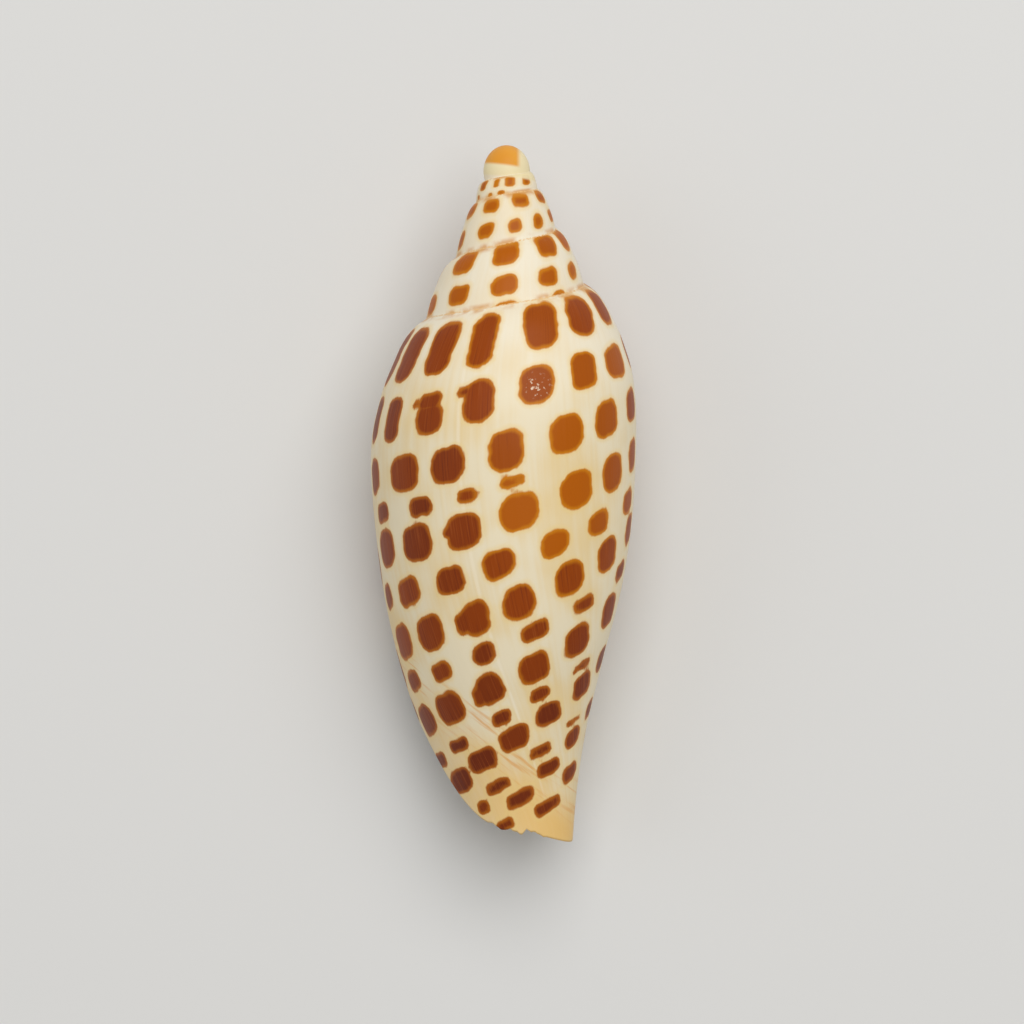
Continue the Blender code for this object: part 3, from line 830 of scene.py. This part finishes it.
# Painted highlight: pale glint specks in one spot, standing in for light caught on the glaze
glint_reach = wire(tree, "ShaderNodeVectorMath", {0: place_mm, 1: GLINT_PLACE}, operation="DISTANCE")
glint_reach = glint_reach.outputs["Value"]
glint_specks = fade(tree, noise(tree, place_mm, *GLINT_SPECKS), *GLINT_SPECK_SPAN)
glint_specks = math_node(tree, "MULTIPLY", fade(tree, glint_reach, *GLINT_SPAN), glint_specks)
marked = mix(tree, math_node(tree, "MULTIPLY", glint_specks, GLINT_STRENGTH), marked, colour(*GLINT_PINK))

# Suture: a fine pale thread with amber staining beside it
stained = fade(tree, noise(tree, place_mm, *STAIN_CLOUDS), *STAINED_SPAN)
stain = math_node(tree, "MULTIPLY", fade(tree, suture_mark, *STAIN_REACH), stained)
marked = mix(tree, math_node(tree, "MULTIPLY", stain, STAIN_STRENGTH), marked, colour(*SUTURE_STAIN))
thread = fade(tree, suture_mark, *THREAD_REACH)
thread = math_node(tree, "MULTIPLY", thread, fade(tree, streaks, *THREAD_SPAN))
marked = mix(tree, thread, marked, colour(*SUTURE_THREAD))

# Tip: an orange cap with a pale right side, on a yellow band
cap_edge = math_node(tree, "ADD", y_mm, math_node(tree, "MULTIPLY", x_mm, CAP_SLOPE))
cap = math_node(tree, "MULTIPLY", fade(tree, cap_edge, *CAP_SPAN), fade(tree, x_mm, *CAP_SIDE))
pale = math_node(tree, "MULTIPLY", fade(tree, cap_edge, *BAND_SPAN), BAND_STRENGTH)
marked = mix(tree, pale, marked, colour(*TIP_YELLOW))
cap_colour = mix(tree, fade(tree, broad, *CAP_CLOUDS), colour(*CAP_ORANGE), colour(*CAP_GOLD))
marked = mix(tree, cap, marked, cap_colour)
inner = mix(tree, fade(tree, broad, *INNER_CLOUDS), colour(*INNER_WHITE), colour(*INNER_CREAM))
finish = mix(tree, inside_mark, marked, inner)
tree.links.new(finish, shader.inputs["Base Color"])
shader.inputs["Roughness"].default_value = GLOSS_ROUGHNESS
shader.inputs["Specular IOR Level"].default_value = GLOSS_LEVEL
bump = wire(tree, "ShaderNodeBump", {"Strength": LINE_RELIEF, "Distance": LINE_HEIGHT, "Height": streaks})
tree.links.new(bump.outputs[0], shader.inputs["Normal"])

shell.data.materials.clear()
shell.data.materials.append(glaze)
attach(shell, "root")
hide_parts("shell")

# Floor
# A plain pale sheet of matt board that the shell lies on.

FLOOR_SIZE = 3.0
BOARD_GREY = (222, 221, 218)
BOARD_ROUGHNESS = 0.9

bpy.ops.mesh.primitive_plane_add(size=FLOOR_SIZE, location=(0.0, 0.0, 0.0))
floor = bpy.context.active_object
floor.name = "floor"
board = bpy.data.materials.new("board")
board.use_nodes = True
board_shader = board.node_tree.nodes["Principled BSDF"]
board_shader.inputs["Base Color"].default_value = colour(*BOARD_GREY)
board_shader.inputs["Roughness"].default_value = BOARD_ROUGHNESS
floor.data.materials.append(board)

# Light
# Two large soft boxes and a dim even sky.

SKY_STRENGTH = 0.35
# Name, place in m, side in m, power in watts
LIGHTS = (
    ("soft_box_above", (0.18, 0.42, 0.95), 1.0, 8.7),
    ("soft_box_left", (-0.9, 0.1, 0.7), 0.6, 1.0),
)
for name, spot, size, power in LIGHTS:
    lamp = bpy.data.lights.new(name, "AREA")
    lamp.size = size
    lamp.energy = power
    item = bpy.data.objects.new(name, lamp)
    item.location = spot
    item.rotation_euler = (-Vector(spot)).to_track_quat("-Z", "Y").to_euler()
    bpy.context.collection.objects.link(item)
world = bpy.data.worlds.new("sky")
world.use_nodes = True
world.node_tree.nodes["Background"].inputs["Color"].default_value = (1.0, 1.0, 1.0, 1.0)
world.node_tree.nodes["Background"].inputs["Strength"].default_value = SKY_STRENGTH
bpy.context.scene.world = world
bpy.context.scene.view_settings.view_transform = "Standard"

# Camera
# Straight above the shell, spire up in the picture, as in the photograph.

CAMERA_CENTRE = (0.00113, -0.00226)
CAMERA_HEIGHT = 0.6
VIEW_WIDTH = 0.1322
VIEW_LEVEL = 0.014
SENSOR = 36.0
NEAREST = 0.01

camera = bpy.data.cameras.new("camera")
camera.sensor_width = SENSOR
camera.lens = SENSOR * (CAMERA_HEIGHT - VIEW_LEVEL) / VIEW_WIDTH
camera.clip_start = NEAREST
eye = bpy.data.objects.new("camera", camera)
eye.location = (*CAMERA_CENTRE, CAMERA_HEIGHT)
bpy.context.collection.objects.link(eye)
bpy.context.scene.camera = eye
